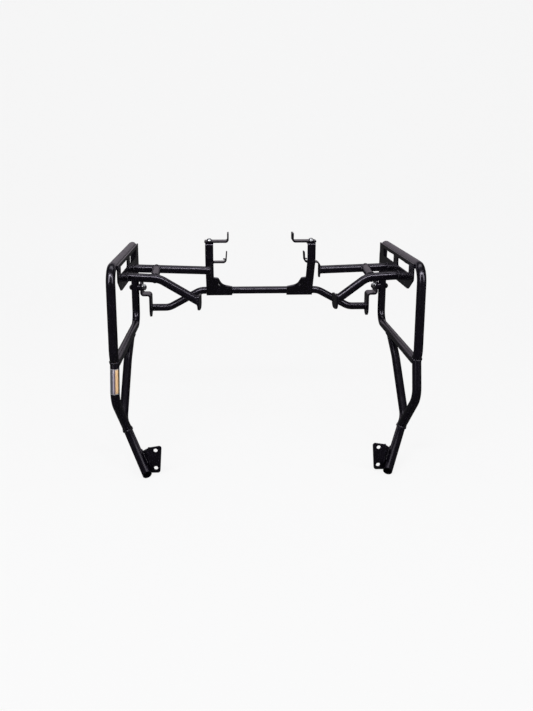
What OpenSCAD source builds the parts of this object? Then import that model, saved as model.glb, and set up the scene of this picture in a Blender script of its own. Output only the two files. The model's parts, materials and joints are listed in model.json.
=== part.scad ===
// Pannier frames for both sides of a motorbike, joined at the rear by a cranked crossbar.
// X points right, Y to the rear and Z up. Every size is taken from the mid-plane, from the centres
// of the front uprights and from the centres of the top bars. The finished part is then moved so
// that its origin is at the bottom, in the middle of its width and its length.

/* [Tube] */
// Outside diameter of the frame tube
tube_od = 19; // [17:0.5:21]
// Wall of every tube
tube_wall = 2; // [1.5:0.5:3]
// Gap that the weld fills wherever one piece is welded on another
weld_gap = 0.1; // [0.05:0.05:0.3]

/* [Side loops] */
// Distance between the middle planes of the two loops
frame_w = 620; // [600:5:680]
// Length of a loop between the centres of its uprights
loop_l = 389; // [380:1:430]
// Height of a loop between the centres of its bars
loop_h = 199; // [190:1:230]
// Centre-line radius of the loop's corners
loop_r = 32; // [26:1:40]

/* [Window plates] */
// Thickness of the plate on the inner side of each top bar
plate_t = 3; // [2:0.5:5]
// Front edge of the plate behind the front upright's centre
plate_front = 24; // [14:1:30]
// Rear edge of the plate ahead of the rear upright's centre
plate_rear = 17; // [12:1:30]
// Height of the plate above the top bar's centre
plate_rise = 4; // [2:0.5:8]
// Lower edge of the plate below the top bar's centre
plate_drop = 55; // [53:1:75]
// Height at which the plate's front edge starts to slant
nose_drop = 30; // [20:1:40]
// Length of the slant at the plate's front
nose_l = 42; // [25:1:50]
// Radius of the plate's lower front tip
nose_r = 16; // [6:1:20]
// Front edge of the front window
window_front = 63; // [50:1:80]
// Length of the front window
window_1_l = 110; // [60:1:115]
// Web between the two windows
window_web = 39; // [25:1:50]
// Rear edge of the rear window ahead of the rear upright's centre
window_rear = 63; // [57:1:117]
// Lower edge of the windows below the top bar's centre
window_drop = 22; // [16:1:28]
// Radius of the windows' corners
window_r = 6; // [2:0.5:8]

/* [Arms] */
// Rear arm ahead of the rear upright's centre
arm_ahead = 113; // [100:1:130]
// Distance between the centres of the two arms
arm_pitch = 117; // [100:1:140]
// Roots of the arms below the top bar's centre
arm_drop = 42; // [38:1:44]
// Fall of the front arm's outer part, in degrees
front_fall = 3.5; // [0:0.5:8]
// Bend of the front arm inside the loop's middle plane
front_bend_in = 81; // [60:1:95]
// Radius of the front arm's bend
front_bend_r = 50; // [35:1:60]
// Fall of the front arms' inner parts, in degrees, halfway between the left and the right one
front_dive = 34; // [26:1:40]
// Difference of that fall on each side: the right arm is the steeper one
dive_offset = 3; // [0:0.5:4]
// Shift of the arms' inner ends to the right: left arms reach further in than right ones
arm_offset = 9; // [0:0.5:10]
// Fall of the rear arm, in degrees
rear_fall = 2; // [0:0.5:4]
// Brace between the arms inside the loop's middle plane, at the front arm
brace_front_in = 72; // [50:1:85]
// Brace between the arms inside the loop's middle plane, at the rear arm
brace_rear_in = 65; // [45:1:85]

/* [Front flanges] */
// Outer face of the flange on the front arm, from the middle of both flanges
flange_x = 154; // [145:1:165]
// Thickness of the flange
flange_t = 4; // [3:0.5:6]
// Length of the flange
flange_l = 40; // [36:1:55]
// Height of the flange
flange_h = 33; // [28:1:46]
// Part of the flange ahead of the arm's centre
flange_ahead = 12; // [10:1:16]
// Turn of the flange's rear edge towards the mid-plane, in degrees
flange_toe = 7; // [0:1:12]
// Radius of the flange's lower corners
flange_r = 14; // [4:1:16]
// Bolt hole beside the arm
flange_hole = 8.5; // [6.5:0.5:10.5]

/* [Rear hooks] */
// Outer face of the hook's flange from the middle of both hooks
hook_x = 128.5; // [120:0.5:136]
// Thickness of the hook's strip
hook_t = 3; // [2:0.5:4]
// Width of the hook's strip, front to rear
hook_l = 25; // [21:1:34]
// Lower end of the hook's flange below the top bar's centre
hook_drop = 65; // [63:1:75]
// Level of the hook's flat part below the top bar's centre
hook_level = 28; // [24:0.5:32]
// Reach of the hook's flat part, from its flange to its lip
hook_reach = 35; // [26:1:45]
// Height of the lip at the hook's inner end
hook_lip = 24; // [14:1:30]
// Lean of the lip, in degrees
hook_lean = 4; // [0:1:10]
// Fold between the hook's flange and its flat part, on the centre line
hook_fold_r = 9; // [4:1:12]
// Fold between the hook's flat part and its lip, on the centre line
lip_fold_r = 7; // [4:1:10]
// Radius of the flange's lower corners
hook_r = 9; // [4:1:10]

/* [Legs and struts] */
// Top of the strut on the bottom bar, behind the front upright's centre
strut_top = 274; // [240:1:300]
// Upper bend of the strut behind the front upright's centre
knee_y = 205; // [190:1:215]
// Upper bend of the strut below the top bar's centre
knee_drop = 240; // [235:1:245]
// Radius of the strut's upper bend
knee_r = 90; // [50:5:120]
// Elbow of the strut inside the loop's plane
elbow_in = 1.5; // [0:0.5:12]
// Elbow of the strut behind the front upright's centre
elbow_y = 88; // [70:1:100]
// Elbow of the strut below the top bar's centre
elbow_drop = 345; // [330:1:360]
// Radius of the strut's elbow
elbow_r = 60; // [40:1:80]
// Open lower end of the strut inside the loop's middle plane
foot_in = 66; // [56:1:74]
// Open lower end of the strut ahead of the front upright's centre
foot_y = 58; // [50:1:66]
// Open lower end of the strut below the top bar's centre
foot_drop = 409; // [402:1:420]
// Leg behind the front upright's centre
leg_y = 10; // [6:1:14]
// Lean of the leg's upper part to the front, in degrees
leg_lean = 12; // [0:1:14]
// Bend of the leg below the top bar's centre
leg_bend_drop = 270; // [255:1:285]
// Radius of the leg's bend
leg_bend_r = 45; // [35:1:55]
// Leg's foot on the strut, measured from the elbow's corner
leg_seat = 35; // [28:1:50]

/* [Foot brackets] */
// Thickness of the foot bracket
foot_t = 3.5; // [2.5:0.5:5]
// Front face of the bracket ahead of the front upright's centre
foot_face = 40; // [34:1:44]
// Upper bolt hole below the top bar's centre
foot_hole_drop = 365; // [358:0.5:370]
// Distance between the two bolt holes
foot_pitch = 38; // [30:0.5:42]
// Distance of the bolt holes from the bracket's bend
foot_hole_in = 12.5; // [11:0.5:18]
// Diameter of the two bolt holes
foot_hole = 8.5; // [6.5:0.5:10.5]
// Metal above the upper and below the lower bolt hole's centre
foot_edge = 10; // [8:0.5:14]
// Metal inside the bolt holes' centres at the top edge
foot_side = 12.5; // [9:0.5:16]
// Slant of the inner edge, from its top to its bottom
foot_slant = 4; // [0:0.5:6]
// Slope of the bracket's top edge, in degrees
foot_slope = 9; // [0:1:12]
// Radius of the bracket's inner corners
foot_r = 5; // [2:0.5:7]
// Length of the wing that runs back along the strut
wing_l = 46; // [40:1:56]
// Lower corner of the wing's rear end above the bracket's lower edge
wing_low = 24; // [18:1:26]
// Upper corner of the wing's rear end below the bracket's upper edge
wing_high = 29; // [24:1:31]
// Radius of the wing's rear corners
wing_r = 3; // [1:0.5:4]

/* [Crossbar] */
// Outside diameter of the crossbar
bar_od = 18; // [16:0.5:20]
// Crossbar behind the rear uprights' centres
bar_back = 11; // [7:1:16]
// Middle of the crossbar below the top bars' centres
bar_drop = 119; // [112:1:126]
// Ends of the crossbar below the top bars' centres
bar_end_drop = 162; // [158:1:168]
// Inner bends of the crossbar from the mid-plane
bar_inner_x = 148; // [140:1:155]
// Outer bends of the crossbar inside the loops' middle planes
bar_outer_in = 83; // [75:1:90]
// Radius of the crossbar's bends
bar_r = 40; // [25:1:50]
// Ends of the crossbar inside the loops' middle planes
bar_end_in = 39.5; // [34:0.5:46]

/* [Crossbar straps] */
// Thickness of the folded strap at each end of the crossbar
strap_t = 4.5; // [3:0.5:6]
// Width of the strap, front to rear
strap_l = 44; // [40:1:48]
// Front edge of the strap ahead of the rear uprights' centres
strap_ahead = 16; // [12:1:18]
// Step of the strap below the top bars' centres
strap_step = 126; // [122:0.5:132]
// Upper end of the strap below the top bars' centres
strap_top = 90; // [84:1:94]
// Inside radius of the strap's two folds
strap_fold_r = 4; // [2:0.5:6]
// Radius of the strap's upper corners
strap_r = 9; // [4:1:16]
// Radius of the strap's lower corners
strap_low_r = 21; // [10:1:21]
// Spacer between the strap and the rear upright
spacer_t = 4; // [3:0.5:6]
// Outside diameter of the spacer
spacer_od = 17; // [15:0.5:18]
// Bolt through the rear upright, below the top bars' centres
post_bolt_drop = 108; // [104:0.5:112]

/* [Uprights and top straps] */
// Middle of each upright from the mid-plane
upright_x = 123; // [110:1:136]
// Width of the flat bar of the upright
upright_w = 19.5; // [17:0.5:24]
// Thickness of the flat bar of the upright
upright_t = 4; // [3:0.5:6]
// Top of the upright above the top bars' centres
upright_rise = 10; // [0:1:16]
// Bend of the upright below the top bars' centres
upright_bend = 33; // [25:1:50]
// Radius of that bend
upright_r = 20; // [10:1:30]
// Lean of the upright's lower part, in degrees
upright_lean = 35; // [26:1:38]
// Length of the folded tab at the upright's top
tab_l = 32; // [26:1:36]
// Thickness of the top strap
top_t = 4; // [3:0.5:5]
// Width of the top strap, front to rear
top_l = 35; // [26:1:38]
// Length of the top strap's flat part outside the upright's middle
top_out = 11.5; // [10:0.5:16]
// Lip of the top strap, from the upright's middle
top_in = 47; // [38:1:55]
// Height of the lip above the top strap's lower face
top_lip = 22.5; // [16:0.5:34]
// Gusset between the upright and the crossbar, along the crossbar
gusset_w = 45; // [40:1:56]
// Height of the gusset above the crossbar's middle, along the upright
gusset_h = 56; // [44:1:64]
// Length of the slot in the gusset
slot_l = 9.5; // [6:0.5:11]
// Width of the slot in the gusset
slot_w = 3.5; // [2.5:0.5:4]

/* [Fasteners] */
// Thread diameter of the bolts
bolt_d = 8; // [6:1:8]
// Clearance of a bolt in its hole
bolt_fit = 0.5; // [0.3:0.1:1]
// Distance across the flats of the nuts
nut_af = 13; // [12:0.5:14]
// Height of the nuts
nut_h = 6.5; // [5:0.5:8]
// Diameter of the domed bolt heads
head_d = 14; // [13:0.5:16]
// Height of the domed bolt heads
head_h = 5.5; // [4:0.5:7]
// Thickness of the washers
washer_t = 1.5; // [1:0.5:2]
// Outside diameter of the washers
washer_d = 16; // [15:0.5:18]

/* [Hidden] */
$fn = 48;
// Straights reach this far into the bends, which are drawn thinner by slim
lap = 0.1;
slim = 0.1;
over = 1;
loop_x = frame_w / 2;
plate_x = loop_x - tube_od / 2 - weld_gap - plate_t;
front_bend_x = loop_x - front_bend_in;
bar_y = loop_l + bar_back;
bar_outer_x = loop_x - bar_outer_in;
bar_end_x = loop_x - bar_end_in;
strap_y = loop_l - strap_ahead;
bolt_hole = bolt_d + bolt_fit;

// Corners of the closed loop, seen from the side
loop_path = [[loop_x, 0, 0], [loop_x, loop_l, 0], [loop_x, loop_l, -loop_h], [loop_x, 0, -loop_h]];
loop_bends = [loop_r, loop_r, loop_r, loop_r];

// The front arm falls gently, then dives to its flange; s is -1 on the left and 1 on the right
arm_rear = loop_l - arm_ahead;
arm_front = arm_rear - arm_pitch;
function front_z(x) = -arm_drop - (plate_x - x) * tan(front_fall);
function dive(s) = tan(front_dive + s * dive_offset);
function flange_at(s) = flange_x + s * arm_offset;
function front_end(s) = front_z(front_bend_x) - (front_bend_x - flange_at(s)) * dive(s);
function front_path(s) = [[plate_x + over, arm_front, front_z(plate_x + over)],
    [front_bend_x, arm_front, front_z(front_bend_x)],
    [flange_at(s) - flange_t, arm_front, front_end(s) - flange_t * dive(s)]];
front_bends = [0, front_bend_r];
function rear_z(x) = -arm_drop - (plate_x - x) * tan(rear_fall);
function hook_at(s) = hook_x + s * arm_offset;
function rear_path(s) = [[plate_x + over, arm_rear, rear_z(plate_x + over)],
    [hook_at(s) - over, arm_rear, rear_z(hook_at(s) - over)]];
brace_front = loop_x - brace_front_in;
brace_rear = loop_x - brace_rear_in;
brace_path = [[brace_front, arm_front, front_z(brace_front)], [brace_rear, arm_rear, rear_z(brace_rear)]];

// The strut runs from the bottom bar to its elbow and on to its open lower end
elbow = [loop_x - elbow_in, elbow_y, -elbow_drop];
foot_end = [loop_x - foot_in, -foot_y, -foot_drop];
foot_run = foot_end - elbow;
foot_way = foot_run / norm(foot_run);
strut_path = [[loop_x, strut_top, -loop_h], [loop_x, knee_y, -knee_drop], elbow, foot_end];
strut_bends = [0, knee_r, elbow_r];
// The leg starts on the centre line of the loop's corner
leg_top = loop_h - loop_r + sqrt(pow(loop_r, 2) - pow(loop_r - leg_y, 2));
leg_bend_y = leg_y - (leg_bend_drop - leg_top) * tan(leg_lean);
leg_path = [[loop_x, leg_y, -leg_top], [loop_x, leg_bend_y, -leg_bend_drop], elbow + foot_way * leg_seat];
leg_bends = [0, leg_bend_r];

// The bracket's wing lies in the upright plane that touches the lower strut on its inner side
wing_turn = atan2(foot_run.x, foot_run.y) + 180;
foot_y0 = -foot_face + foot_t;
wing_gap = tube_od / 2 + weld_gap + foot_t / 2;
foot_mid_y = foot_y0 - foot_t / 2;
fold_x = foot_end.x + (foot_mid_y - foot_end.y) * tan(wing_turn) - wing_gap / cos(wing_turn);
foot_hole_x = fold_x - foot_hole_in;
foot_top = -foot_hole_drop + foot_edge;
foot_bottom = -foot_hole_drop - foot_pitch - foot_edge;

// The crossbar drops to its ends through two bends on each side
bar_path = [[-bar_end_x - over, bar_y, -bar_end_drop], [-bar_outer_x, bar_y, -bar_end_drop],
    [-bar_inner_x, bar_y, -bar_drop], [bar_inner_x, bar_y, -bar_drop],
    [bar_outer_x, bar_y, -bar_end_drop], [bar_end_x + over, bar_y, -bar_end_drop]];
bar_bends = [0, bar_r, bar_r, bar_r, bar_r];
strap_low_x = bar_end_x + weld_gap + strap_t / 2;
strap_high_x = loop_x - tube_od / 2 - spacer_t - strap_t / 2;

// The upright's leaning part touches the front of the crossbar at lean_y, lean_z
lean_off = bar_od / 2 + weld_gap + upright_t / 2;
lean_y = bar_y - lean_off * cos(upright_lean);
lean_z = -bar_drop - lean_off * sin(upright_lean);
upright_y = lean_y - (-upright_bend - lean_z) * tan(upright_lean);
lean_end = 5;
tab_y = upright_y + tab_l / 2 + 1;
tab_z = upright_rise;

// Bottom, front and rear of the whole part
foot_low = foot_end.z - tube_od / 2 * sqrt(1 - foot_way.z * foot_way.z);
foot_front = foot_end.y - tube_od / 2 * sqrt(1 - foot_way.y * foot_way.y);
rear_face = max(strap_y + strap_l, bar_y + bar_od / 2);
origin = [0, (foot_front + rear_face) / 2, foot_low];

function unit(v) = v / norm(v);
function turn(a, b, c) = acos(unit(b - a) * unit(c - b));
function setback(a, b, c, r) = r * tan(turn(a, b, c) / 2);
function flat(p) = [p.x, p.y];

module right() translate(-origin) children();
module left() translate(-origin) mirror([1, 0, 0]) children();
module both() {
    right() children();
    left() children();
}

// Extrusion of an outline drawn in X and Z from y, and of one drawn in Y and Z from x
module along_y(y, l) translate([0, y + l, 0]) rotate([90, 0, 0]) linear_extrude(l) children();
module along_x(x, l) translate([x, 0, 0]) rotate([90, 0, 90]) linear_extrude(l) children();

// Round bar from p to q, made longer at its two ends
module rod(p, q, d, more_p = 0, more_q = 0) {
    v = q - p;
    translate(p) rotate([0, acos(v.z / norm(v)), atan2(v.y, v.x)])
        translate([0, 0, -more_p]) cylinder(d = d, h = norm(v) + more_p + more_q);
}

// Bend of radius r at the corner b on the way from a to c
module bend(a, b, c, r, d) {
    u = unit(b - a);
    w = unit(c - b);
    x = unit(w - u * (u * w));
    y = cross(u, x);
    s = b - u * setback(a, b, c, r);
    angle = turn(a, b, c);
    multmatrix([[x.x, y.x, u.x, s.x], [x.y, y.y, u.y, s.y], [x.z, y.z, u.z, s.z], [0, 0, 0, 1]])
        translate([r, 0, 0]) rotate([90, 0, 0])
        rotate_extrude(angle = angle, start = 180 - angle) translate([r, 0]) circle(d = d);
}

// Bent round bar through the points p, with a bend of radius r[i] at point i
module run(p, r, d, closed = false, more = 0) {
    n = len(p);
    last = closed ? n - 1 : n - 2;
    for (i = [0:last]) {
        j = (i + 1) % n;
        v = unit(p[j] - p[i]);
        starts = !closed && i == 0;
        ends = !closed && j == n - 1;
        s = starts ? 0 : setback(p[(i + n - 1) % n], p[i], p[j], r[i]);
        e = ends ? 0 : setback(p[i], p[j], p[(j + 1) % n], r[j]);
        rod(p[i] + v * s, p[j] - v * e, d, starts ? more : lap, ends ? more : lap);
    }
    for (i = [closed ? 0 : 1:last]) bend(p[(i + n - 1) % n], p[i], p[(i + 1) % n], r[i], d - slim);
}

// Bent tube, hollow to both ends
module tube(p, r, od, closed = false) difference() {
    run(p, r, od, closed);
    run(p, r, od - 2 * tube_wall, closed, closed ? 0 : over);
}

// Outline through corners [x, y, radius], listed anticlockwise and rounded by true arcs
function before(p, i) = flat(p[(i + len(p) - 1) % len(p)]);
function after(p, i) = flat(p[(i + 1) % len(p)]);
function side(p, i) = sign(cross(flat(p[i]) - before(p, i), after(p, i) - flat(p[i])));
function radius(p, i) = p[i][2] == undef ? 0 : p[i][2];
function tangent(p, i) = setback(before(p, i), flat(p[i]), after(p, i), radius(p, i));
function chamfer(p, i) = radius(p, i) == 0 ? [flat(p[i])] :
    [flat(p[i]) - unit(flat(p[i]) - before(p, i)) * tangent(p, i),
    flat(p[i]) + unit(after(p, i) - flat(p[i])) * tangent(p, i)];
function centre(p, i) = let (u = unit(flat(p[i]) - before(p, i)))
    flat(p[i]) - u * tangent(p, i) + [-u.y, u.x] * side(p, i) * radius(p, i);
// Kite between a rounded corner, its two tangent points and the centre of its arc, cut off by the arc
module sector(p, i) intersection() {
    polygon(concat([centre(p, i)], [chamfer(p, i)[0]], [flat(p[i])], [chamfer(p, i)[1]]));
    translate(centre(p, i)) circle(radius(p, i));
}
module outline(p) difference() {
    union() {
        polygon([for (i = [0:len(p) - 1]) each chamfer(p, i)]);
        for (i = [0:len(p) - 1]) if (radius(p, i) > 0 && side(p, i) > 0) sector(p, i);
    }
    for (i = [0:len(p) - 1]) if (radius(p, i) > 0 && side(p, i) < 0) sector(p, i);
}

// Outline of a folded strip of thickness t along the centre line p, whose folds have radius p[i][2]
function normal(a, b) = let (u = unit(b - a)) [-u.y, u.x];
function first_normal(p, i) = i == 0 ? normal(flat(p[0]), flat(p[1])) : normal(flat(p[i - 1]), flat(p[i]));
function last_normal(p, i) = i == len(p) - 1 ? first_normal(p, i) : normal(flat(p[i]), flat(p[i + 1]));
function shifted(p, i, h) = let (m = first_normal(p, i), n = last_normal(p, i))
    flat(p[i]) + (m + n) / (1 + m * n) * h;
function fold(p, i, h) = i == 0 || i == len(p) - 1 ? 0 :
    p[i][2] - sign(cross(first_normal(p, i), last_normal(p, i))) * h;
function edge_point(p, i, h) = let (q = shifted(p, i, h)) [q.x, q.y, fold(p, i, h)];
function strip(p, t) = [for (i = [0:len(p) - 1]) edge_point(p, i, -t / 2),
    for (i = [len(p) - 1:-1:0]) edge_point(p, i, t / 2)];

// Closed loop of bent tube, drilled through its rear upright for the crossbar's bolt
module loop() color("#17181a") difference() {
    tube(loop_path, loop_bends, tube_od, closed = true);
    translate([loop_x - tube_od, loop_l, -post_bolt_drop]) rotate([0, 90, 0])
        cylinder(d = bolt_hole, h = 2 * tube_od);
}

// Plate on the inner side of the top bar, with a slanted nose and two windows
module window_plate() color("#17181a") along_x(plate_x, plate_t) difference() {
    rear = loop_l - plate_rear;
    outline([[plate_front, -nose_drop, nose_r / 2], [plate_front + nose_l, -plate_drop, nose_r],
        [rear, -plate_drop, 3], [rear, plate_rise, 0], [plate_front, plate_rise, 0]]);
    window(window_front, window_front + window_1_l);
    window(window_front + window_1_l + window_web, loop_l - window_rear);
}

module window(a, b) outline([[a, -window_drop, window_r], [b, -window_drop, window_r],
    [b, -plate_rise, 0], [a, -plate_rise, 0]]);

// Arm that falls from the plate, bends and ends on the flange's outer face
module front_arm(s) color("#17181a") difference() {
    tube(front_path(s), front_bends, tube_od);
    translate([plate_x - weld_gap, 0, -loop_h]) cube([tube_od, loop_l, loop_h]);
    at_flange(s) translate([-tube_od * 2 + weld_gap, -tube_od, -loop_h])
        cube([tube_od * 2, tube_od * 3, loop_h]);
}

// Straight arm from the plate to the hook's flange
module rear_arm(s) color("#17181a") difference() {
    tube(rear_path(s), [0], tube_od);
    translate([plate_x - weld_gap, 0, -loop_h]) cube([tube_od, loop_l, loop_h]);
    translate([hook_at(s) + weld_gap - tube_od, 0, -loop_h]) cube([tube_od, loop_l, loop_h]);
}

// Tube between the arms, coped to both
module arm_brace(s) color("#17181a") difference() {
    tube(brace_path, [0], tube_od);
    run(front_path(s), front_bends, tube_od + 2 * weld_gap);
    run(rear_path(s), [0], tube_od + 2 * weld_gap);
}

// Frame of the front flange: its outer face at x = 0, the arm's centre at y = 0
module at_flange(s) translate([flange_at(s), arm_front, 0]) rotate([0, 0, flange_toe]) children();

// Bolt flange on the front arm's lower end, rounded below
module front_flange(s) color("#17181a") at_flange(s) difference() {
    low = front_end(s) - flange_h / 2 - 5;
    rear = flange_l - flange_ahead;
    along_x(-flange_t, flange_t) outline([[-flange_ahead, low, flange_r], [rear, low, flange_r],
        [rear, low + flange_h, 3], [-flange_ahead, low + flange_h, 3]]);
    translate([-flange_t - over, rear - flange_hole - 1, low + flange_h / 2])
        rotate([0, 90, 0]) cylinder(d = flange_hole, h = flange_t + 2 * over);
}

// Folded strip: flange on the rear arm, flat reach and upturned lip
module rear_hook(s) color("#17181a") intersection() {
    x = hook_at(s) - hook_t / 2;
    lip_x = x - hook_reach;
    front = arm_rear - hook_l / 2;
    along_y(front, hook_l) outline(strip([[x, -hook_drop], [x, -hook_level, hook_fold_r],
        [lip_x, -hook_level, lip_fold_r],
        [lip_x - hook_lip * tan(hook_lean), -hook_level + hook_lip]], hook_t));
    along_x(0, loop_x) outline([[front, -hook_drop, hook_r], [front + hook_l, -hook_drop, hook_r],
        [front + hook_l, hook_lip, 0], [front, hook_lip, 0]]);
}

// Leg under the loop's front corner, bent back and in to the strut
module leg() color("#17181a") difference() {
    tube(leg_path, leg_bends, tube_od);
    run(loop_path, loop_bends, tube_od + 2 * weld_gap, closed = true);
    run(strut_path, strut_bends, tube_od + 2 * weld_gap);
}

// Strut from the bottom bar to the foot, with an open lower end
module strut() color("#17181a") difference() {
    tube(strut_path, strut_bends, tube_od);
    rod([loop_x, 0, -loop_h], [loop_x, loop_l, -loop_h], tube_od + 2 * weld_gap);
}

// Folded bracket: a face with two bolt holes and a wing along the strut's inner side
module foot_bracket() color("#17181a") difference() {
    wing = [fold_x + wing_l * sin(wing_turn), foot_mid_y + wing_l * cos(wing_turn)];
    inner_x = foot_hole_x - foot_side;
    fold_top = foot_top - (fold_x - inner_x) * tan(foot_slope);
    intersection() {
        translate([0, 0, foot_bottom - over]) linear_extrude(foot_top - foot_bottom + 2 * over)
            outline(strip([[inner_x - over, foot_mid_y], [fold_x, foot_mid_y, foot_t], wing], foot_t));
        union() {
            along_y(-foot_face - over, foot_t + 2 * over) outline([
                [inner_x + foot_slant, foot_bottom, foot_r], [fold_x + foot_t, foot_bottom, 0],
                [fold_x + foot_t, fold_top, 0], [fold_x, fold_top, 0], [inner_x, foot_top, foot_r]]);
            translate([fold_x, foot_mid_y, 0]) rotate([0, 0, -wing_turn]) along_x(-foot_t, 2 * foot_t)
                outline([[-foot_t, foot_bottom, 0], [0, foot_bottom, 0],
                [wing_l + over, foot_bottom + wing_low, wing_r],
                [wing_l + over, foot_top - wing_high, wing_r], [0, fold_top, 0], [-foot_t, fold_top, 0]]);
        }
    }
    for (z = [0, foot_pitch]) translate([foot_hole_x, over, -foot_hole_drop - z])
        rotate([90, 0, 0]) cylinder(d = foot_hole, h = foot_face + 2 * over);
}

// Cranked tube across the rear
module crossbar() color("#17181a") difference() {
    tube(bar_path, bar_bends, bar_od);
    for (s = [-1, 1]) translate([s * (bar_end_x + tube_od), bar_y, -bar_end_drop])
        cube(2 * tube_od, center = true);
}

// Folded strap that carries the crossbar's end and is bolted to the rear upright
module crossbar_strap() color("#17181a") difference() {
    rear = strap_y + strap_l;
    low = -bar_end_drop - strap_l / 2;
    r = strap_fold_r + strap_t / 2;
    intersection() {
        along_y(strap_y - over, strap_l + 2 * over) outline(strip([[strap_low_x, low - over],
            [strap_low_x, -strap_step, r], [strap_high_x, -strap_step, r],
            [strap_high_x, -strap_top + over]], strap_t));
        along_x(bar_end_x - over, frame_w) outline([[strap_y, low, strap_low_r],
            [rear, low, strap_low_r], [rear, -strap_top, strap_r], [strap_y, -strap_top, strap_r]]);
    }
    translate([strap_low_x, loop_l, -post_bolt_drop]) rotate([0, 90, 0])
        cylinder(d = bolt_hole, h = tube_od * 2);
}

// Flat bar: folded tab at the top, bend, and a leaning part on the crossbar's front
module upright() color("#17181a") difference() {
    along_x(upright_x - upright_w / 2, upright_w) outline(strip([
        [upright_y + tab_l, tab_z - upright_t / 2], [upright_y, tab_z - upright_t / 2, upright_t + 1],
        [upright_y, -upright_bend, upright_r],
        [lean_y + lean_end * sin(upright_lean), lean_z - lean_end * cos(upright_lean)]], upright_t));
    translate([upright_x, tab_y, tab_z - upright_t - over]) cylinder(d = bolt_hole, h = upright_t + 2 * over);
}

// Plate in the upright's leaning plane, with a hollow edge and a short slot
module gusset() color("#17181a") {
    outer = upright_x - upright_w / 2 - weld_gap;
    inner = outer - gusset_w;
    translate([0, lean_y, lean_z]) rotate([upright_lean, 0, 0])
        along_y(-upright_t / 2, upright_t) difference() {
        outline([[inner, -lean_end, 2], [outer, -lean_end, 0], [outer, gusset_h, 0],
            [outer - gusset_w * 0.24, gusset_h - 2, 5], [outer - gusset_w * 0.45, gusset_h * 0.55, 20],
            [inner, gusset_h * 0.42, 0]]);
        translate([outer - gusset_w * 0.26, gusset_h * 0.56]) rotate(40) {
            square([slot_l - slot_w, slot_w], center = true);
            for (s = [-1, 1]) translate([s * (slot_l - slot_w) / 2, 0]) circle(d = slot_w);
        }
    }
}

// Folded strap on the upright's tab: chamfered outer end and upturned lip
module top_strap() color("#17181a") translate([0, 0, tab_z]) difference() {
    x = upright_x - top_in + top_t / 2;
    y = tab_y - top_l / 2;
    intersection() {
        along_y(y, top_l) outline(strip([[upright_x + top_out, top_t / 2], [x, top_t / 2, top_t + 2],
            [x, top_lip]], top_t));
        linear_extrude(top_lip + over) outline([[x - 2 * top_t, y, 0], [upright_x + top_out - 4, y, 0],
            [upright_x + top_out, y + 4, 0], [upright_x + top_out, y + top_l - 4, 0],
            [upright_x + top_out - 4, y + top_l, 0], [x - 2 * top_t, y + top_l, 0]]);
    }
    translate([upright_x, tab_y, -over]) cylinder(d = bolt_hole, h = top_t + 2 * over);
}

// Domed bolt along +Z: the head's lower face at z = 0, the shank below it
module domed_bolt(l) {
    cap_r = (head_d * head_d / 4 + head_h * head_h) / (2 * head_h);
    intersection() {
        translate([0, 0, head_h - cap_r]) sphere(cap_r);
        cylinder(d = head_d, h = head_h + over);
    }
    translate([0, 0, -l]) cylinder(d = bolt_d, h = l + lap);
}

// Hexagon nut from z = 0 upwards, bored for its bolt
module nut() difference() {
    cylinder(d = nut_af / cos(30), h = nut_h, $fn = 6);
    translate([0, 0, -over]) cylinder(d = bolt_d + 2 * weld_gap, h = nut_h + 2 * over);
}

strap_grip = top_t + upright_t;
post_in = strap_high_x - strap_t / 2;
post_out = loop_x + tube_od / 2;
post_grip = post_out - post_in + washer_t;

module strap_bolts() color("#b9bcc0") both() translate([upright_x, tab_y, tab_z + top_t])
    domed_bolt(strap_grip + nut_h + 2);
module strap_nuts() color("#b9bcc0") both() translate([upright_x, tab_y, tab_z - upright_t - nut_h]) nut();
module post_bolts() color("#2b2c2e") both() translate([post_out, loop_l, -post_bolt_drop])
    rotate([0, 90, 0]) domed_bolt(post_grip + nut_h + 2);
module post_nuts() color("#c9ccd0") both() translate([post_in - washer_t, loop_l, -post_bolt_drop])
    rotate([0, -90, 0]) nut();
module post_washers() color("#c9ccd0") both() translate([post_in - washer_t, loop_l, -post_bolt_drop])
    rotate([0, 90, 0]) difference() {
        cylinder(d = washer_d, h = washer_t);
        translate([0, 0, -over]) cylinder(d = bolt_hole, h = washer_t + 2 * over);
    }
module post_spacers() color("#17181a") both() difference() {
    translate([post_in + strap_t, loop_l, -post_bolt_drop]) rotate([0, 90, 0])
        cylinder(d = spacer_od, h = tube_od / 2);
    translate([post_in, loop_l, -post_bolt_drop]) rotate([0, 90, 0]) cylinder(d = bolt_hole, h = tube_od);
    rod([loop_x, loop_l, 0], [loop_x, loop_l, -loop_h], tube_od + 2 * weld_gap);
}

left() loop();  // left_loop
right() loop();  // right_loop
left() window_plate();  // left_window_plate
right() window_plate();  // right_window_plate
left() front_arm(-1);  // left_front_arm
right() front_arm(1);  // right_front_arm
left() rear_arm(-1);  // left_rear_arm
right() rear_arm(1);  // right_rear_arm
left() arm_brace(-1);  // left_arm_brace
right() arm_brace(1);  // right_arm_brace
left() front_flange(-1);  // left_front_flange
right() front_flange(1);  // right_front_flange
left() rear_hook(-1);  // left_rear_hook
right() rear_hook(1);  // right_rear_hook
left() leg();  // left_leg
right() leg();  // right_leg
left() strut();  // left_strut
right() strut();  // right_strut
left() foot_bracket();  // left_foot_bracket
right() foot_bracket();  // right_foot_bracket
right() crossbar();
left() crossbar_strap();  // left_crossbar_strap
right() crossbar_strap();  // right_crossbar_strap
left() upright();  // left_upright
right() upright();  // right_upright
left() gusset();  // left_gusset
right() gusset();  // right_gusset
left() top_strap();  // left_top_strap
right() top_strap();  // right_top_strap
strap_bolts();
strap_nuts();
post_bolts();
post_nuts();
post_washers();
post_spacers();
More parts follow.
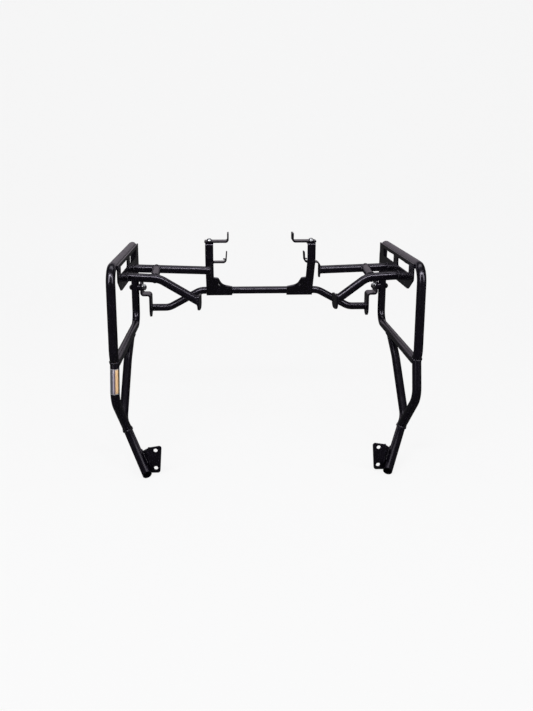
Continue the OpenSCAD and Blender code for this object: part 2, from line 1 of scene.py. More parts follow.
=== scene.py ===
"""Studio scene of a pair of pannier frames for a motorbike.

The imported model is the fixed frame. This file coats its tubes and plates, plates its
fasteners, runs the weld beads round every joint, sticks the label on one leg, and sets
the floor, the lamps and the camera. Sizes in the classes are in millimetres in the
drawing's own axes: X from the mid-plane, Y from the front uprights' centres and Z from
the top bars' centres. Datum turns them into the frame's metres.
"""
import json
import logging
import math
from dataclasses import dataclass, field
from enum import Enum
from typing import Callable, Iterable, Sequence

import bmesh
import bpy
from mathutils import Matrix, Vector


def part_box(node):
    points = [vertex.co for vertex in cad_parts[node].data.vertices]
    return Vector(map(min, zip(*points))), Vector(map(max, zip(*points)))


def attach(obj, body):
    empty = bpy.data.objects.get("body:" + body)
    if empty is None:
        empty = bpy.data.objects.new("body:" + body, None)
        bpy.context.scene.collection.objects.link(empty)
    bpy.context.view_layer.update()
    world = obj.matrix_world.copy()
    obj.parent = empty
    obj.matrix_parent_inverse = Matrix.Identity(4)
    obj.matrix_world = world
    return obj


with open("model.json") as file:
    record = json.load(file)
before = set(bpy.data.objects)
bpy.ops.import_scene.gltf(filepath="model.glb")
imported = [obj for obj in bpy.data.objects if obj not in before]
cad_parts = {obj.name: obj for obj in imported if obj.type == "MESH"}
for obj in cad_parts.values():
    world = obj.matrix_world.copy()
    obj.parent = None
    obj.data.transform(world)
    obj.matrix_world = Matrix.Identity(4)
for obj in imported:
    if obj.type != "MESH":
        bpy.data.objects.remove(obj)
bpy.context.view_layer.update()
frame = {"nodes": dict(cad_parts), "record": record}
LOG = logging.getLogger("pannier_frame")
MM = 0.001
BODY = "root"
Colour = tuple[float, float, float]
Seam = tuple[list[Vector], bool]


class Side(Enum):
    """The two mirrored halves of the frame, with the sign of their X."""

    LEFT = -1
    RIGHT = 1

    @property
    def word(self) -> str:
        """Name of the side, as it stands at the head of a node's name."""
        return self.name.lower()


class Slot(Enum):
    """Material slots of the record."""

    COAT = "black_coat"
    ZINC = "zinc"
    BLACK_BOLT = "black_bolt"


@dataclass(frozen=True)
class Datum:
    """Place of the drawing's axes in the frame.

    Args:
        front: Y of the front uprights' centres, in metres.
        top: Z of the top bars' centres, in metres.
    """

    front: float
    top: float

    @classmethod
    def from_loop(cls, tube_od: float = 19.0) -> "Datum":
        """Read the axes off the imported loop, whose front and top lie one tube radius out.

        Args:
            tube_od: outside diameter of the frame tube, in millimetres.

        Returns:
            The datum.
        """
        low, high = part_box("right_loop")
        radius = tube_od / 2 * MM
        return cls(front=low[1] + radius, top=high[2] - radius)

    def at(self, x: float, y: float, z: float) -> Vector:
        """Point of the drawing in millimetres, in the frame's metres."""
        return Vector((x * MM, self.front + y * MM, self.top + z * MM))


def unit(v: Sequence[float]) -> Vector:
    """Vector of length one along v."""
    return Vector(v).normalized()


def side_frame(axis: Vector) -> tuple[Vector, Vector]:
    """Two unit vectors that stand square on an axis and on each other.

    Args:
        axis: unit vector.

    Returns:
        The two vectors.
    """
    helper = Vector((0, 0, 1)) if abs(axis.z) < 0.9 else Vector((1, 0, 0))
    first = axis.cross(helper).normalized()
    return first, axis.cross(first).normalized()


# Shapes that the weld seams run on

Distance = Callable[[Vector], float]


@dataclass(frozen=True)
class Rod:
    """Endless round bar, in drawing millimetres."""

    point: Vector
    axis: Vector
    radius: float

    def distance(self, p: Vector) -> float:
        """Signed distance of a point from the bar's skin."""
        arm = p - self.point
        return (arm - self.axis * arm.dot(self.axis)).length - self.radius


@dataclass(frozen=True)
class Corner:
    """Bent corner of a loop: part of a ring in a plane square to X."""

    centre: Vector
    bend: float
    radius: float

    def distance(self, p: Vector) -> float:
        """Signed distance of a point from the corner's skin."""
        arm = p - self.centre
        around = math.hypot(arm.y, arm.z) - self.bend
        return math.hypot(around, arm.x) - self.radius


@dataclass(frozen=True)
class Face:
    """Flat face with its outward normal."""

    point: Vector
    normal: Vector

    def distance(self, p: Vector) -> float:
        """Signed height of a point over the face."""
        return (p - self.point).dot(self.normal)


def cope_seam(start: Vector, back: Vector, radius: float, seat: Distance, count: int = 72,
              tries: int = 60, close: float = 0.02) -> list[Vector]:
    """Line along which a round tube meets the piece that it is coped to.

    Each line along the tube's skin is followed back from well outside the seat, by steps
    as long as the distance that is left.

    Args:
        start: point on the tube's centre line, outside the seat.
        back: unit vector from there towards the seat.
        radius: outside radius of the tube.
        seat: signed distance from the seat's skin.
        count: number of points round the tube.
        tries: most steps along one line.
        close: distance from the seat, in millimetres, at which a line ends.

    Returns:
        Closed list of points.
    """
    first, second = side_frame(back)
    seam: list[Vector] = []
    for step in range(count):
        angle = 2 * math.pi * step / count
        p = start + (first * math.cos(angle) + second * math.sin(angle)) * radius
        for _ in range(tries):
            gap = seat(p)
            if gap < close:
                break
            p = p + back * gap
        seam.append(p)
    return seam


@dataclass(frozen=True)
class Bead:
    """Cross-section of a weld bead.

    Args:
        radius: half of the bead's width, in millimetres.
        ripple: share by which each drop swells.
        pitch: length of one drop, in millimetres.
        sides: sides of the section.
        rings: sections to a drop.
        tail: share of its width that an open bead keeps at its ends.
    """

    radius: float = 1.9
    ripple: float = 0.13
    pitch: float = 2.3
    sides: int = 8
    rings: int = 4
    tail: float = 0.55

    def resample(self, path: Sequence[Vector], closed: bool) -> list[Vector]:
        """Space the points of a path evenly, with a point for each section.

        Args:
            path: points of the seam.
            closed: whether the last point joins the first.

        Returns:
            The evenly spaced points.
        """
        points = list(path) + ([path[0]] if closed else [])
        lengths = [0.0]
        for a, b in zip(points, points[1:]):
            lengths.append(lengths[-1] + (b - a).length)
        drops = max(2, round(lengths[-1] / self.pitch))
        count = drops * self.rings
        even: list[Vector] = []
        k = 0
        for step in range(count if closed else count + 1):
            want = lengths[-1] * step / count
            while k < len(points) - 2 and lengths[k + 1] < want:
                k += 1
            span = max(lengths[k + 1] - lengths[k], 1e-9)
            even.append(points[k].lerp(points[k + 1], (want - lengths[k]) / span))
        return even

    def build(self, name: str, paths: Iterable[Seam], datum: Datum) -> bpy.types.Object:
        """Sweep the bead along one or more seams into one object.

        Args:
            name: name of the piece.
            paths: each seam's points in drawing millimetres, and whether it is closed.
            datum: place of the drawing in the frame.

        Returns:
            The new object.
        """
        mesh = bmesh.new()
        for path, closed in paths:
            self._sweep(mesh, self.resample(path, closed), closed, datum)
        bmesh.ops.recalc_face_normals(mesh, faces=mesh.faces)
        return finished_mesh(name, mesh)

    def _sweep(self, mesh: bmesh.types.BMesh, path: list[Vector], closed: bool, datum: Datum) -> None:
        """Add one seam's swept section to a mesh."""
        count = len(path)
        rings = []
        for i, p in enumerate(path):
            before = path[i - 1] if closed or i else path[0]
            after = path[(i + 1) % count] if closed or i < count - 1 else path[-1]
            tangent = (after - before).normalized()
            first, second = side_frame(tangent)
            phase = (i % self.rings) / self.rings
            size = self.radius * (1 + self.ripple * math.cos(2 * math.pi * phase))
            if not closed and i in (0, count - 1):
                size *= self.tail
            ring = []
            for k in range(self.sides):
                angle = 2 * math.pi * k / self.sides
                q = p + (first * math.cos(angle) + second * math.sin(angle)) * size
                ring.append(mesh.verts.new(datum.at(*q)))
            rings.append(ring)
        pairs = count if closed else count - 1
        for i in range(pairs):
            a, b = rings[i], rings[(i + 1) % count]
            shift = self._best_shift(a, b)
            for k in range(self.sides):
                n = (k + 1) % self.sides
                mesh.faces.new((a[k], a[n], b[(n + shift) % self.sides], b[(k + shift) % self.sides]))
        if not closed:
            mesh.faces.new(rings[0])
            mesh.faces.new(list(reversed(rings[-1])))

    def _best_shift(self, a: list[bmesh.types.BMVert], b: list[bmesh.types.BMVert]) -> int:
        """Turn of the next ring at which its points lie nearest to this ring's."""
        def cost(shift: int) -> float:
            """Sum of squared lengths between the paired points."""
            return sum((a[k].co - b[(k + shift) % self.sides].co).length_squared for k in range(self.sides))
        return min(range(self.sides), key=cost)


def finished_mesh(name: str, mesh: bmesh.types.BMesh) -> bpy.types.Object:
    """Turn a bmesh into a smooth object of the scene.

    Args:
        name: name of the object and of its mesh.
        mesh: the bmesh, which is freed.

    Returns:
        The new object.
    """
    data = bpy.data.meshes.new(name)
    mesh.to_mesh(data)
    mesh.free()
    for polygon in data.polygons:
        polygon.use_smooth = True
    piece = bpy.data.objects.new(name, data)
    bpy.context.scene.collection.objects.link(piece)
    return piece


# Shader node groups

def new_group(name: str, inputs: dict[str, float], outputs: Sequence[str]) -> bpy.types.NodeTree:
    """Make an empty shader node group with named sockets, all of them numbers.

    Args:
        name: name of the group.
        inputs: names and default values of its inputs.
        outputs: names of its outputs.

    Returns:
        The group, with its Group Input and Group Output nodes named In and Out.
    """
    group = bpy.data.node_groups.new(name, "ShaderNodeTree")
    for socket, value in inputs.items():
        made = group.interface.new_socket(name=socket, in_out="INPUT", socket_type="NodeSocketFloat")
        made.default_value = value
    for socket in outputs:
        group.interface.new_socket(name=socket, in_out="OUTPUT", socket_type="NodeSocketFloat")
    group.nodes.new("NodeGroupInput").name = "In"
    group.nodes.new("NodeGroupOutput").name = "Out"
    return group


def noise(tree: bpy.types.NodeTree, detail: float, rough: float) -> bpy.types.Node:
    """Noise texture on object coordinates, in metres.

    Args:
        tree: tree to add it to.
        detail: number of octaves.
        rough: weight of the finer octaves.

    Returns:
        The noise node.
    """
    place = tree.nodes.new("ShaderNodeTexCoord")
    node = tree.nodes.new("ShaderNodeTexNoise")
    node.inputs["Detail"].default_value = detail
    node.inputs["Roughness"].default_value = rough
    tree.links.new(place.outputs["Object"], node.inputs["Vector"])
    return node


def ranged(tree: bpy.types.NodeTree, source: bpy.types.NodeSocket, low: float,
           high: float) -> bpy.types.NodeSocket:
    """Stretch the range from low to high of a value to 0 to 1.

    Args:
        tree: tree to add the node to.
        source: socket that holds the value.
        low: value that becomes 0.
        high: value that becomes 1.

    Returns:
        Socket with the stretched value.
    """
    node = tree.nodes.new("ShaderNodeMapRange")
    node.inputs["From Min"].default_value = low
    node.inputs["From Max"].default_value = high
    tree.links.new(source, node.inputs["Value"])
    return node.outputs["Result"]


def coat_grain_group() -> bpy.types.NodeTree:
    """Baked powder: a fine orange peel, and slow changes of gloss from panel to panel."""
    group = new_group("Coat grain", {"Peel scale": 520.0, "Cloud scale": 22.0}, ("Height", "Cloud"))
    peel = noise(group, detail=2.0, rough=0.45)
    cloud = noise(group, detail=3.0, rough=0.55)
    enter, leave = group.nodes["In"], group.nodes["Out"]
    group.links.new(enter.outputs["Peel scale"], peel.inputs["Scale"])
    group.links.new(enter.outputs["Cloud scale"], cloud.inputs["Scale"])
    group.links.new(ranged(group, peel.outputs["Fac"], low=0.3, high=0.7), leave.inputs["Height"])
    group.links.new(ranged(group, cloud.outputs["Fac"], low=0.32, high=0.68), leave.inputs["Cloud"])
    return group


def handling_group() -> bpy.types.NodeTree:
    """Traces of handling: soft smudges."""
    group = new_group("Handling", {"Smudge scale": 34.0}, ("Smudge",))
    smudge = noise(group, detail=5.0, rough=0.62)
    enter, leave = group.nodes["In"], group.nodes["Out"]
    group.links.new(enter.outputs["Smudge scale"], smudge.inputs["Scale"])
    group.links.new(ranged(group, smudge.outputs["Fac"], low=0.5, high=0.72), leave.inputs["Smudge"])
    return group


@dataclass
class Shop:
    """The node groups that every finish draws on."""

    grain: bpy.types.NodeTree = field(default_factory=coat_grain_group)
    handling: bpy.types.NodeTree = field(default_factory=handling_group)


@dataclass
class Sheet:
    """One material under construction, with shorthands for its nodes."""

    material: bpy.types.Material

    @classmethod
    def named(cls, name: str) -> "Sheet":
        """Start a material of that name with its Principled BSDF."""
        material = bpy.data.materials.new(name)
        material.use_nodes = True
        return cls(material)

    @property
    def tree(self) -> bpy.types.NodeTree:
        """The material's node tree."""
        return self.material.node_tree

    @property
    def shader(self) -> bpy.types.Node:
        """The Principled BSDF."""
        return self.tree.nodes["Principled BSDF"]

    def group(self, source: bpy.types.NodeTree, **values: float) -> bpy.types.Node:
        """Place a node group.

        Args:
            source: the group.
            values: its inputs, with underscores for the blanks in their names.

        Returns:
            The group node.
        """
        node = self.tree.nodes.new("ShaderNodeGroup")
        node.node_tree = source
        for key, value in values.items():
            node.inputs[key.replace("_", " ")].default_value = value
        return node

    def blend(self, mask: bpy.types.NodeSocket, low: Colour, high: Colour) -> bpy.types.NodeSocket:
        """Colour that goes from low to high as the mask goes from 0 to 1."""
        node = self.tree.nodes.new("ShaderNodeMix")
        node.data_type = "RGBA"
        node.inputs["A"].default_value = (*low, 1)
        node.inputs["B"].default_value = (*high, 1)
        self.tree.links.new(mask, node.inputs["Factor"])
        return node.outputs["Result"]

    def span(self, mask: bpy.types.NodeSocket, low: float, high: float) -> bpy.types.NodeSocket:
        """Number that goes from low to high as the mask goes from 0 to 1."""
        node = self.tree.nodes.new("ShaderNodeMapRange")
        node.inputs["To Min"].default_value = low
        node.inputs["To Max"].default_value = high
        self.tree.links.new(mask, node.inputs["Value"])
        return node.outputs["Result"]

    def join(self, source: bpy.types.NodeSocket, socket: str) -> None:
        """Link a socket to an input of the Principled BSDF."""
        self.tree.links.new(source, self.shader.inputs[socket])

    def bump(self, height: bpy.types.NodeSocket, strength: float, depth: float) -> None:
        """Bump the surface by a height.

        Args:
            height: socket that gives 0 to 1.
            strength: strength of the bump.
            depth: height of 1, in metres.
        """
        node = self.tree.nodes.new("ShaderNodeBump")
        node.inputs["Strength"].default_value = strength
        node.inputs["Distance"].default_value = depth
        self.tree.links.new(height, node.inputs["Height"])
        self.join(node.outputs["Normal"], "Normal")


@dataclass(frozen=True)
class PowderCoat:
    """Semi-gloss black powder coat.

    Args:
        name: name of the material.
        deep: colour where the coat lies thick.
        thin: colour where it is duller.
        gloss: roughness at its glossiest.
        dull: roughness at its dullest.
        peel: strength of the orange peel.
        peel_depth: height of the orange peel, in metres.
        ior: refractive index.
        reflection: level of its reflections, where 0.5 is plain.
        tint: colour of its reflections.
    """

    name: str
    deep: Colour = (0.0016, 0.0010, 0.0028)
    thin: Colour = (0.0034, 0.0024, 0.0056)
    gloss: float = 0.23
    dull: float = 0.32
    peel: float = 0.05
    peel_depth: float = 0.0001
    ior: float = 1.5
    reflection: float = 0.85
    tint: Colour = (0.89, 0.83, 1.0)

    def make(self, shop: Shop) -> bpy.types.Material:
        """Build the material from the shop's groups."""
        sheet = Sheet.named(self.name)
        grain = sheet.group(shop.grain, Peel_scale=560.0, Cloud_scale=19.0)
        marks = sheet.group(shop.handling, Smudge_scale=31.0)
        sheet.join(sheet.blend(grain.outputs["Cloud"], self.deep, self.thin), "Base Color")
        sheet.join(sheet.span(marks.outputs["Smudge"], self.gloss, self.dull), "Roughness")
        sheet.bump(grain.outputs["Height"], self.peel, self.peel_depth)
        sheet.shader.inputs["IOR"].default_value = self.ior
        sheet.shader.inputs["Specular IOR Level"].default_value = self.reflection
        sheet.shader.inputs["Specular Tint"].default_value = (*self.tint, 1)
        return sheet.material


@dataclass(frozen=True)
class Plating:
    """Electroplated metal of the nuts, washers and bolts.

    Args:
        name: name of the material.
        bright: colour of the clean plating.
        grey: colour of the duller patches.
        metallic: share of bare metal.
        gloss: roughness at its glossiest.
        dull: roughness at its dullest.
        grit: strength of its fine grain.
        grit_depth: height of the fine grain, in metres.
    """

    name: str
    bright: Colour
    grey: Colour
    metallic: float
    gloss: float
    dull: float
    grit: float = 0.08
    grit_depth: float = 0.00004

    def make(self, shop: Shop) -> bpy.types.Material:
        """Build the material from the shop's groups."""
        sheet = Sheet.named(self.name)
        grain = sheet.group(shop.grain, Peel_scale=1500.0, Cloud_scale=160.0)
        marks = sheet.group(shop.handling, Smudge_scale=120.0)
        sheet.join(sheet.blend(grain.outputs["Cloud"], self.bright, self.grey), "Base Color")
        sheet.join(sheet.span(marks.outputs["Smudge"], self.gloss, self.dull), "Roughness")
        sheet.shader.inputs["Metallic"].default_value = self.metallic
        sheet.bump(grain.outputs["Height"], self.grit, self.grit_depth)
        return sheet.material


@dataclass(frozen=True)
class LabelFilm:
    """Film in plain upright fields of colour, from the outer to the inner edge.

    Args:
        name: name of the material.
        edge: colour of the outer edge and of the line at both ends.
        slate: colour of the first field.
        silver: colour of the second field.
        plum: colour of the third field.
        cream: colour of the field at the inner edge.
        stops: share of the width at which each colour starts.
        border: share of the height at which the line at an end fades out and is full.
        gloss: roughness at its glossiest.
        dull: roughness at its dullest.
        grain: strength of its fine grain.
        grain_depth: height of the fine grain, in metres.
    """

    name: str = "Label film"
    edge: Colour = (0.36, 0.35, 0.37)
    slate: Colour = (0.085, 0.083, 0.098)
    silver: Colour = (0.34, 0.31, 0.37)
    plum: Colour = (0.12, 0.08, 0.10)
    cream: Colour = (0.80, 0.52, 0.27)
    stops: tuple[float, ...] = (0.0, 0.12, 0.44, 0.57, 0.69)
    border: tuple[float, float] = (0.032, 0.026)
    gloss: float = 0.3
    dull: float = 0.45
    grain: float = 0.05
    grain_depth: float = 0.00005

    def make(self, shop: Shop) -> bpy.types.Material:
        """Build the material: a stepped ramp across the film and a pale line at both ends."""
        sheet = Sheet.named(self.name)
        tree = sheet.tree
        place = tree.nodes.new("ShaderNodeTexCoord")
        split = tree.nodes.new("ShaderNodeSeparateXYZ")
        tree.links.new(place.outputs["UV"], split.inputs["Vector"])
        ramp = tree.nodes.new("ShaderNodeValToRGB")
        ramp.color_ramp.interpolation = "CONSTANT"
        colours = (self.edge, self.slate, self.silver, self.plum, self.cream)
        elements = ramp.color_ramp.elements
        while len(elements) < len(colours):
            elements.new(0.5)
        for element, stop, colour in zip(elements, self.stops, colours):
            element.position = stop
            element.color = (*colour, 1)
        tree.links.new(split.outputs["X"], ramp.inputs["Fac"])
        ends = tree.nodes.new("ShaderNodeMath")
        ends.operation = "PINGPONG"
        ends.inputs[1].default_value = 0.5
        tree.links.new(split.outputs["Y"], ends.inputs[0])
        border = ranged(tree, ends.outputs["Value"], *self.border)
        frame_mix = tree.nodes.new("ShaderNodeMix")
        frame_mix.data_type = "RGBA"
        frame_mix.inputs["B"].default_value = (*self.edge, 1)
        tree.links.new(border, frame_mix.inputs["Factor"])
        tree.links.new(ramp.outputs["Color"], frame_mix.inputs["A"])
        sheet.join(frame_mix.outputs["Result"], "Base Color")
        marks = sheet.group(shop.handling, Smudge_scale=90.0)
        sheet.join(sheet.span(marks.outputs["Smudge"], self.gloss, self.dull), "Roughness")
        grain = sheet.group(shop.grain, Peel_scale=900.0, Cloud_scale=60.0)
        sheet.bump(grain.outputs["Height"], self.grain, self.grain_depth)
        return sheet.material


@dataclass(frozen=True)
class StudioPaper:
    """Seamless pale paper: even in view, dimmer in reflections, with the object's shadow kept.

    Args:
        name: name of the material.
        shown: level at which the camera sees it, where 1 is white.
        mirrored: level at which glossy and clear surfaces see it.
        keep_shadow: share of the lit paper, which carries the shadow.
        colour: colour of the lit paper.
        rough: roughness of the lit paper.
        reflection: level of the lit paper's reflections.
    """

    name: str = "Studio paper"
    shown: float = 0.96
    mirrored: float = 0.045
    keep_shadow: float = 0.08
    colour: Colour = (0.86, 0.86, 0.87)
    rough: float = 0.9
    reflection: float = 0.1

    def make(self) -> bpy.types.Material:
        """Build the material."""
        sheet = Sheet.named(self.name)
        tree = sheet.tree
        shader = sheet.shader
        shader.inputs["Base Color"].default_value = (*self.colour, 1)
        shader.inputs["Roughness"].default_value = self.rough
        shader.inputs["Specular IOR Level"].default_value = self.reflection
        paths = tree.nodes.new("ShaderNodeLightPath")
        seen = levels(tree, paths, self.shown, self.mirrored)
        share = levels(tree, paths, 1 - self.keep_shadow, 1.0)
        glow = tree.nodes.new("ShaderNodeEmission")
        tree.links.new(seen, glow.inputs["Strength"])
        mix = tree.nodes.new("ShaderNodeMixShader")
        tree.links.new(share, mix.inputs["Fac"])
        tree.links.new(shader.outputs["BSDF"], mix.inputs[1])
        tree.links.new(glow.outputs["Emission"], mix.inputs[2])
        tree.links.new(mix.outputs["Shader"], tree.nodes["Material Output"].inputs["Surface"])
        return sheet.material


def levels(tree: bpy.types.NodeTree, paths: bpy.types.Node, camera: float,
           mirrored: float) -> bpy.types.NodeSocket:
    """One level for camera rays, another for glossy and transmitted rays, and 0 for the rest.

    Args:
        tree: tree to add the nodes to.
        paths: its Light Path node.
        camera: level for camera rays.
        mirrored: level for glossy and transmitted rays.

    Returns:
        Socket with the level.
    """
    either = tree.nodes.new("ShaderNodeMath")
    either.operation = "MAXIMUM"
    tree.links.new(paths.outputs["Is Glossy Ray"], either.inputs[0])
    tree.links.new(paths.outputs["Is Transmission Ray"], either.inputs[1])
    reflected = tree.nodes.new("ShaderNodeMath")
    reflected.operation = "MULTIPLY"
    reflected.inputs[1].default_value = mirrored
    tree.links.new(either.outputs["Value"], reflected.inputs[0])
    total = tree.nodes.new("ShaderNodeMath")
    total.operation = "MULTIPLY_ADD"
    total.inputs[1].default_value = camera
    tree.links.new(paths.outputs["Is Camera Ray"], total.inputs[0])
    tree.links.new(reflected.outputs["Value"], total.inputs[2])
    return total.outputs["Value"]


def dress(piece: bpy.types.Object, material: bpy.types.Material) -> None:
    """Give a piece one material in every slot.

    Args:
        piece: mesh object.
        material: the material.
    """
    if not piece.material_slots:
        piece.data.materials.append(material)
    for slot in piece.material_slots:
        slot.material = material


# Sub-assemblies

@dataclass
class Steelwork:
    """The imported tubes, plates and fasteners, which keep their shapes and get their finishes."""

    shop: Shop
    coat: PowderCoat = PowderCoat("Black powder coat")
    zinc: Plating = Plating("Bright zinc", (0.66, 0.67, 0.69), (0.46, 0.47, 0.5), 1.0, 0.26, 0.42)
    black: Plating = Plating("Black zinc", (0.03, 0.03, 0.034), (0.055, 0.05, 0.055), 0.7, 0.28, 0.42)

    def build(self) -> None:
        """Dress every node by its slot in the record."""
        finishes = {Slot.COAT.value: self.coat.make(self.shop), Slot.ZINC.value: self.zinc.make(self.shop),
                    Slot.BLACK_BOLT.value: self.black.make(self.shop)}
        for part in frame["record"]["subparts"]:
            dress(frame["nodes"][part["node"]], finishes[part["material_slot"]])
            LOG.info("dressed %s as %s", part["node"], part["material_slot"])


@dataclass
class Welds:
    """Weld beads round every joint of both halves, in drawing millimetres.

    A seam is searched from a point some way along its tube, the share that lerp() is given.
    """

    shop: Shop
    datum: Datum
    tube_r: float = 9.5
    loop_x: float = 310.0
    loop_drop: float = 199.0
    loop_bend: float = 32.0
    plate_x: float = 297.4
    front_y: float = 159.0
    rear_y: float = 276.0
    arm_drop: float = 42.0
    front_fall: float = 3.5
    front_bend_x: float = 229.0
    front_dive: float = 34.0
    dive_offset: float = 3.0
    flange_x: float = 154.0
    arm_offset: float = 9.0
    flange_toe: float = 7.0
    rear_fall: float = 2.0
    hook_x: float = 128.5
    brace_x: tuple[float, float] = (238.0, 245.0)
    strut_top: tuple[float, float] = (274.0, -199.0)
    knee: tuple[float, float] = (205.0, -240.0)
    elbow: tuple[float, float, float] = (308.5, 88.0, -345.0)
    foot: tuple[float, float, float] = (244.0, -58.0, -409.0)
    leg_y: float = 10.0
    leg_lean: float = 12.0
    leg_bend_drop: float = 270.0
    leg_seat: float = 35.0
    bar_r: float = 9.0
    bar_y: float = 400.0
    bar_drop: float = 119.0
    bar_end_drop: float = 162.0
    bar_end_x: float = 270.6
    bar_reach: float = 12.0
    upright_x: float = 123.0
    upright_lean: float = 35.0
    upright_half: float = 8.5
    upright_turns: tuple[float, float] = (35.0, -33.0)
    foot_gap: float = 0.6
    gusset_span: tuple[float, ...] = (53.0, 39.0, 25.0, 12.0)
    gusset_turn: float = -33.0
    low_leg_reach: float = 30.0
    stitch_drop: float = 4.6
    stitch_gap: float = 0.4
    stitches: tuple[tuple[float, float], ...] = ((30, 54), (95, 119), (182, 206), (262, 286), (336, 362))
    wing_gap: float = 0.5
    wing_seams: tuple[tuple[float, float, float], ...] = ((28.0, 0.6, 0.85), (-28.0, 0.62, 0.84))
    bead: Bead = Bead()
    fine: Bead = Bead(radius=1.5, ripple=0.12, pitch=2.0)
    finely_welded: tuple[str, ...] = ("gusset", "upright", "foot_bracket")
    coat: PowderCoat = PowderCoat("Coated weld", (0.004, 0.004, 0.005), (0.012, 0.011, 0.014), 0.2, 0.34, 0.2)

    def front_z(self, x: float) -> float:
        """Height of the front arm's centre line outside its bend."""
        return -self.arm_drop - (self.plate_x - x) * math.tan(math.radians(self.front_fall))

    def rear_z(self, x: float) -> float:
        """Height of the rear arm's centre line."""
        return -self.arm_drop - (self.plate_x - x) * math.tan(math.radians(self.rear_fall))

    def build(self) -> None:
        """Build every bead of both halves."""
        material = self.coat.make(self.shop)
        for side in Side:
            for name, seams in self.seams(side).items():
                mirrored = [([Vector((p.x * side.value, p.y, p.z)) for p in path], closed)
                            for path, closed in seams]
                bead = self.fine if name in self.finely_welded else self.bead
                piece = bead.build(f"{side.word}_{name}_weld", mirrored, self.datum)
                dress(piece, material)
                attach(piece, BODY)
                LOG.info("welded %s", piece.name)

    def seams(self, side: Side) -> dict[str, list[Seam]]:
        """Seams of one half, by the piece that each one holds, as if it were the right one."""
        plate = Face(Vector((self.plate_x, 0, 0)), Vector((-1, 0, 0)))
        return {"front_arm": self.front_arm_seams(plate, side), "rear_arm": self.rear_arm_seams(plate, side),
                "arm_brace": self.brace_seams(), "leg": self.leg_seams(), "strut": self.strut_seams(),
                "crossbar": self.crossbar_seams(), "upright": self.upright_seams(),
                "gusset": self.gusset_seams(), "window_plate": self.plate_seams(),
                "foot_bracket": self.bracket_seams()}

    def front_arm_seams(self, plate: Face, side: Side) -> list[Seam]:
        """Rings at the front arm's root and at its flange."""
        flange_x = self.flange_x + side.value * self.arm_offset
        dive = math.radians(self.front_dive + side.value * self.dive_offset)
        bend = Vector((self.front_bend_x, self.front_y, self.front_z(self.front_bend_x)))
        root = Vector((self.plate_x, self.front_y, self.front_z(self.plate_x)))
        tip = Vector((flange_x, self.front_y, bend.z - (self.front_bend_x - flange_x) * math.tan(dive)))
        toe = math.radians(self.flange_toe)
        flange = Face(Vector((flange_x, self.front_y, 0)), Vector((math.cos(toe), math.sin(toe), 0)))
        return [(cope_seam(root.lerp(bend, 0.4), unit(root - bend), self.tube_r, plate.distance), True),
                (cope_seam(tip.lerp(bend, 0.35), unit(tip - bend), self.tube_r, flange.distance), True)]

    def rear_arm_seams(self, plate: Face, side: Side) -> list[Seam]:
        """Rings at the rear arm's root and at its hook."""
        hook_x = self.hook_x + side.value * self.arm_offset
        root = Vector((self.plate_x, self.rear_y, self.rear_z(self.plate_x)))
        tip = Vector((hook_x, self.rear_y, self.rear_z(hook_x)))
        hook = Face(Vector((hook_x, 0, 0)), Vector((1, 0, 0)))
        return [(cope_seam(root.lerp(tip, 0.3), unit(root - tip), self.tube_r, plate.distance), True),
                (cope_seam(tip.lerp(root, 0.3), unit(tip - root), self.tube_r, hook.distance), True)]

    def brace_seams(self) -> list[Seam]:
        """Rings where the brace meets both arms."""
        front = Vector((self.brace_x[0], self.front_y, self.front_z(self.brace_x[0])))
        rear = Vector((self.brace_x[1], self.rear_y, self.rear_z(self.brace_x[1])))
        front_way = unit((1, 0, math.tan(math.radians(self.front_fall))))
        rear_way = unit((1, 0, math.tan(math.radians(self.rear_fall))))
        front_arm = Rod(front, front_way, self.tube_r)
        rear_arm = Rod(rear, rear_way, self.tube_r)
        middle = front.lerp(rear, 0.5)
        return [(cope_seam(middle, unit(front - rear), self.tube_r, front_arm.distance), True),
                (cope_seam(middle, unit(rear - front), self.tube_r, rear_arm.distance), True)]

    def strut_points(self) -> tuple[Vector, Vector, Vector, Vector]:
        """The strut's top, knee, elbow and foot."""
        top = Vector((self.loop_x, *self.strut_top))
        knee = Vector((self.loop_x, *self.knee))
        return top, knee, Vector(self.elbow), Vector(self.foot)

    def leg_top(self) -> Vector:
        """Start of the leg, on the centre line of the loop's corner."""
        rise = self.loop_bend - math.sqrt(self.loop_bend ** 2 - (self.loop_bend - self.leg_y) ** 2)
        return Vector((self.loop_x, self.leg_y, rise - self.loop_drop))

    def leg_bend(self) -> Vector:
        """Corner point of the leg's bend."""
        top = self.leg_top()
        reach = (self.leg_bend_drop + top.z) * math.tan(math.radians(self.leg_lean))
        return Vector((self.loop_x, self.leg_y - reach, -self.leg_bend_drop))

    def leg_seams(self) -> list[Seam]:
        """Rings where the leg meets the loop's corner and the strut."""
        _, _, elbow, foot = self.strut_points()
        way = unit(foot - elbow)
        middle = Vector((self.loop_x, self.loop_bend, self.loop_bend - self.loop_drop))
        corner = Corner(middle, self.loop_bend, self.tube_r)
        top = self.leg_top()
        bend = self.leg_bend()
        seat = elbow + way * self.leg_seat
        strut = Rod(elbow, way, self.tube_r)
        low_start = seat + unit(bend - seat) * self.low_leg_reach
        return [(cope_seam(bend.lerp(top, 0.3), unit(top - bend), self.tube_r, corner.distance), True),
                (cope_seam(low_start, unit(seat - bend), self.tube_r, strut.distance), True)]

    def strut_seams(self) -> list[Seam]:
        """Ring where the strut meets the bottom bar."""
        top, knee, _, _ = self.strut_points()
        bar = Rod(Vector((self.loop_x, 0, -self.loop_drop)), Vector((0, 1, 0)), self.tube_r)
        return [(cope_seam(knee.lerp(top, 0.2), unit(top - knee), self.tube_r, bar.distance), True)]

